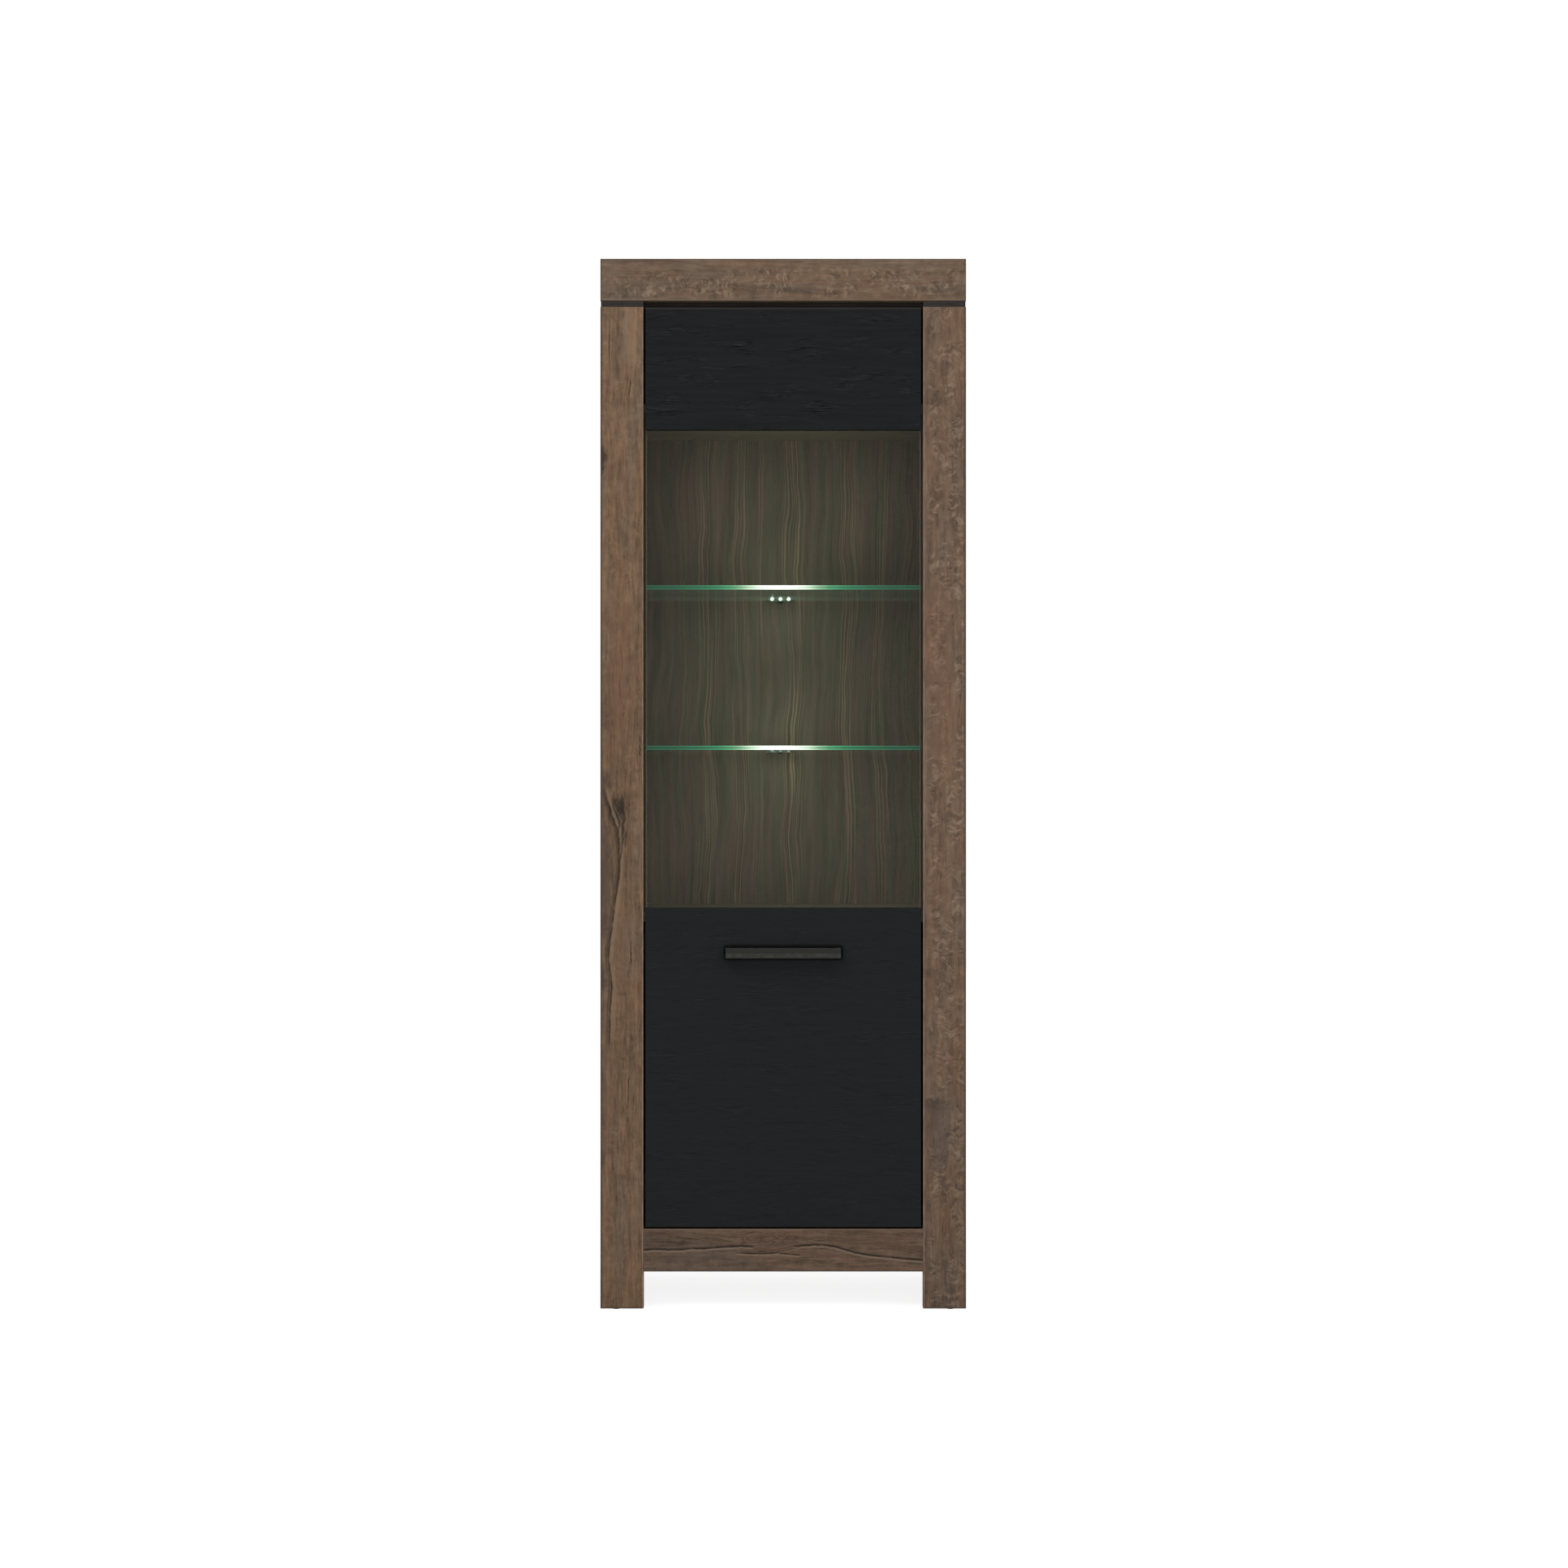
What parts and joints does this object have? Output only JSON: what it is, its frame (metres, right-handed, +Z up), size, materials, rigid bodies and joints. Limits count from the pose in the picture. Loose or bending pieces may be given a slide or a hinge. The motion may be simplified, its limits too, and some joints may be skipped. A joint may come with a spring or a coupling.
{
  "type": "display cabinet",
  "caption": "Tall display cabinet on four legs with one inset door of wood and glass, lit glass shelves and closed storage below.",
  "frame": {"origin": "on the floor, under the middle of the whole object, handle included", "axes": "+X to the right seen from the front, +Y to the back, +Z up"},
  "size_m": [0.698, 0.451, 2.005],
  "materials": {
    "oak": "matt printed oak decor, embossed grain",
    "dark_oak": "matt dark oak decor",
    "back_oak": "matt dark oak print on hardboard",
    "black_oak": "black foil with embossed grain, satin",
    "black_board": "black edged board, matt",
    "door_glass": "clear toughened glass, polished edges",
    "shelf_glass": "clear float glass, green edges",
    "bronze": "dark bronze lacquer, satin",
    "nickel": "nickel plated steel",
    "zinc_screws": "zinc plated steel",
    "clip_metal": "bright chromed clip",
    "led": "lit lens",
    "black_plastic": "fine moulded texture",
    "beech": "raw fluted beech",
    "catch_plastic": "white moulded plastic",
    "seal": "soft black channel"
  },
  "bodies": {
    "carcass": {"side_left": "oak", "side_right": "oak", "stile_left": "oak", "stile_right": "oak", "bottom_rail": "oak", "hinge_filler_left": "oak", "hinge_filler_right": "oak", "top_panel": "oak", "top_fascia": "oak", "top_side_left": "oak", "top_side_right": "oak", "top_batten": "oak", "bottom_panel": "dark_oak", "lower_fixed_shelf": "dark_oak", "upper_fixed_shelf": "dark_oak", "wood_shelf": "dark_oak", "back_panel_lower": "back_oak", "back_panel_upper": "back_oak", "black_top_board": "black_board", "glass_shelf_lower": "shelf_glass", "glass_shelf_upper": "shelf_glass", "wall_brackets": "nickel", "shelf_pins_wood": "nickel", "shelf_pins_lower": "nickel", "shelf_pins_upper": "nickel", "hinge_plate_1": "nickel", "hinge_plate_2": "nickel", "hinge_plate_3": "nickel", "hinge_plate_4": "nickel", "hinge_arm_1": "nickel", "hinge_arm_2": "nickel", "hinge_arm_3": "nickel", "hinge_arm_4": "nickel", "carcass_screws": "zinc_screws", "cam_locks": "zinc_screws", "cam_bolts": "zinc_screws", "back_nails": "zinc_screws", "light_clip_lower": "clip_metal", "light_clip_upper": "clip_metal", "light_leds_lower": "led", "light_leds_upper": "led", "cable_grommets": "black_plastic", "light_driver": "black_plastic", "glides": "black_plastic", "dowels": "beech", "magnet_catch": "catch_plastic", "door_bumpers": "catch_plastic"},
    "door": {"door_panel_upper": "black_oak", "door_panel_lower": "black_oak", "door_glass": "door_glass", "glass_seals": "seal", "handle_bar": "bronze", "door_screws": "zinc_screws", "catch_plate": "nickel", "hinge_pins": "nickel", "hinge_cup_1": "nickel", "hinge_cup_2": "nickel", "hinge_cup_3": "nickel", "hinge_cup_4": "nickel"}
  },
  "joints": [
    {"name": "door_swing", "type": "hinge", "parent": "carcass", "child": "door", "pos_m": [-0.2545, -0.1895, 1], "axis": [0, 0, -1], "range_deg": [0, 95]}
  ]
}
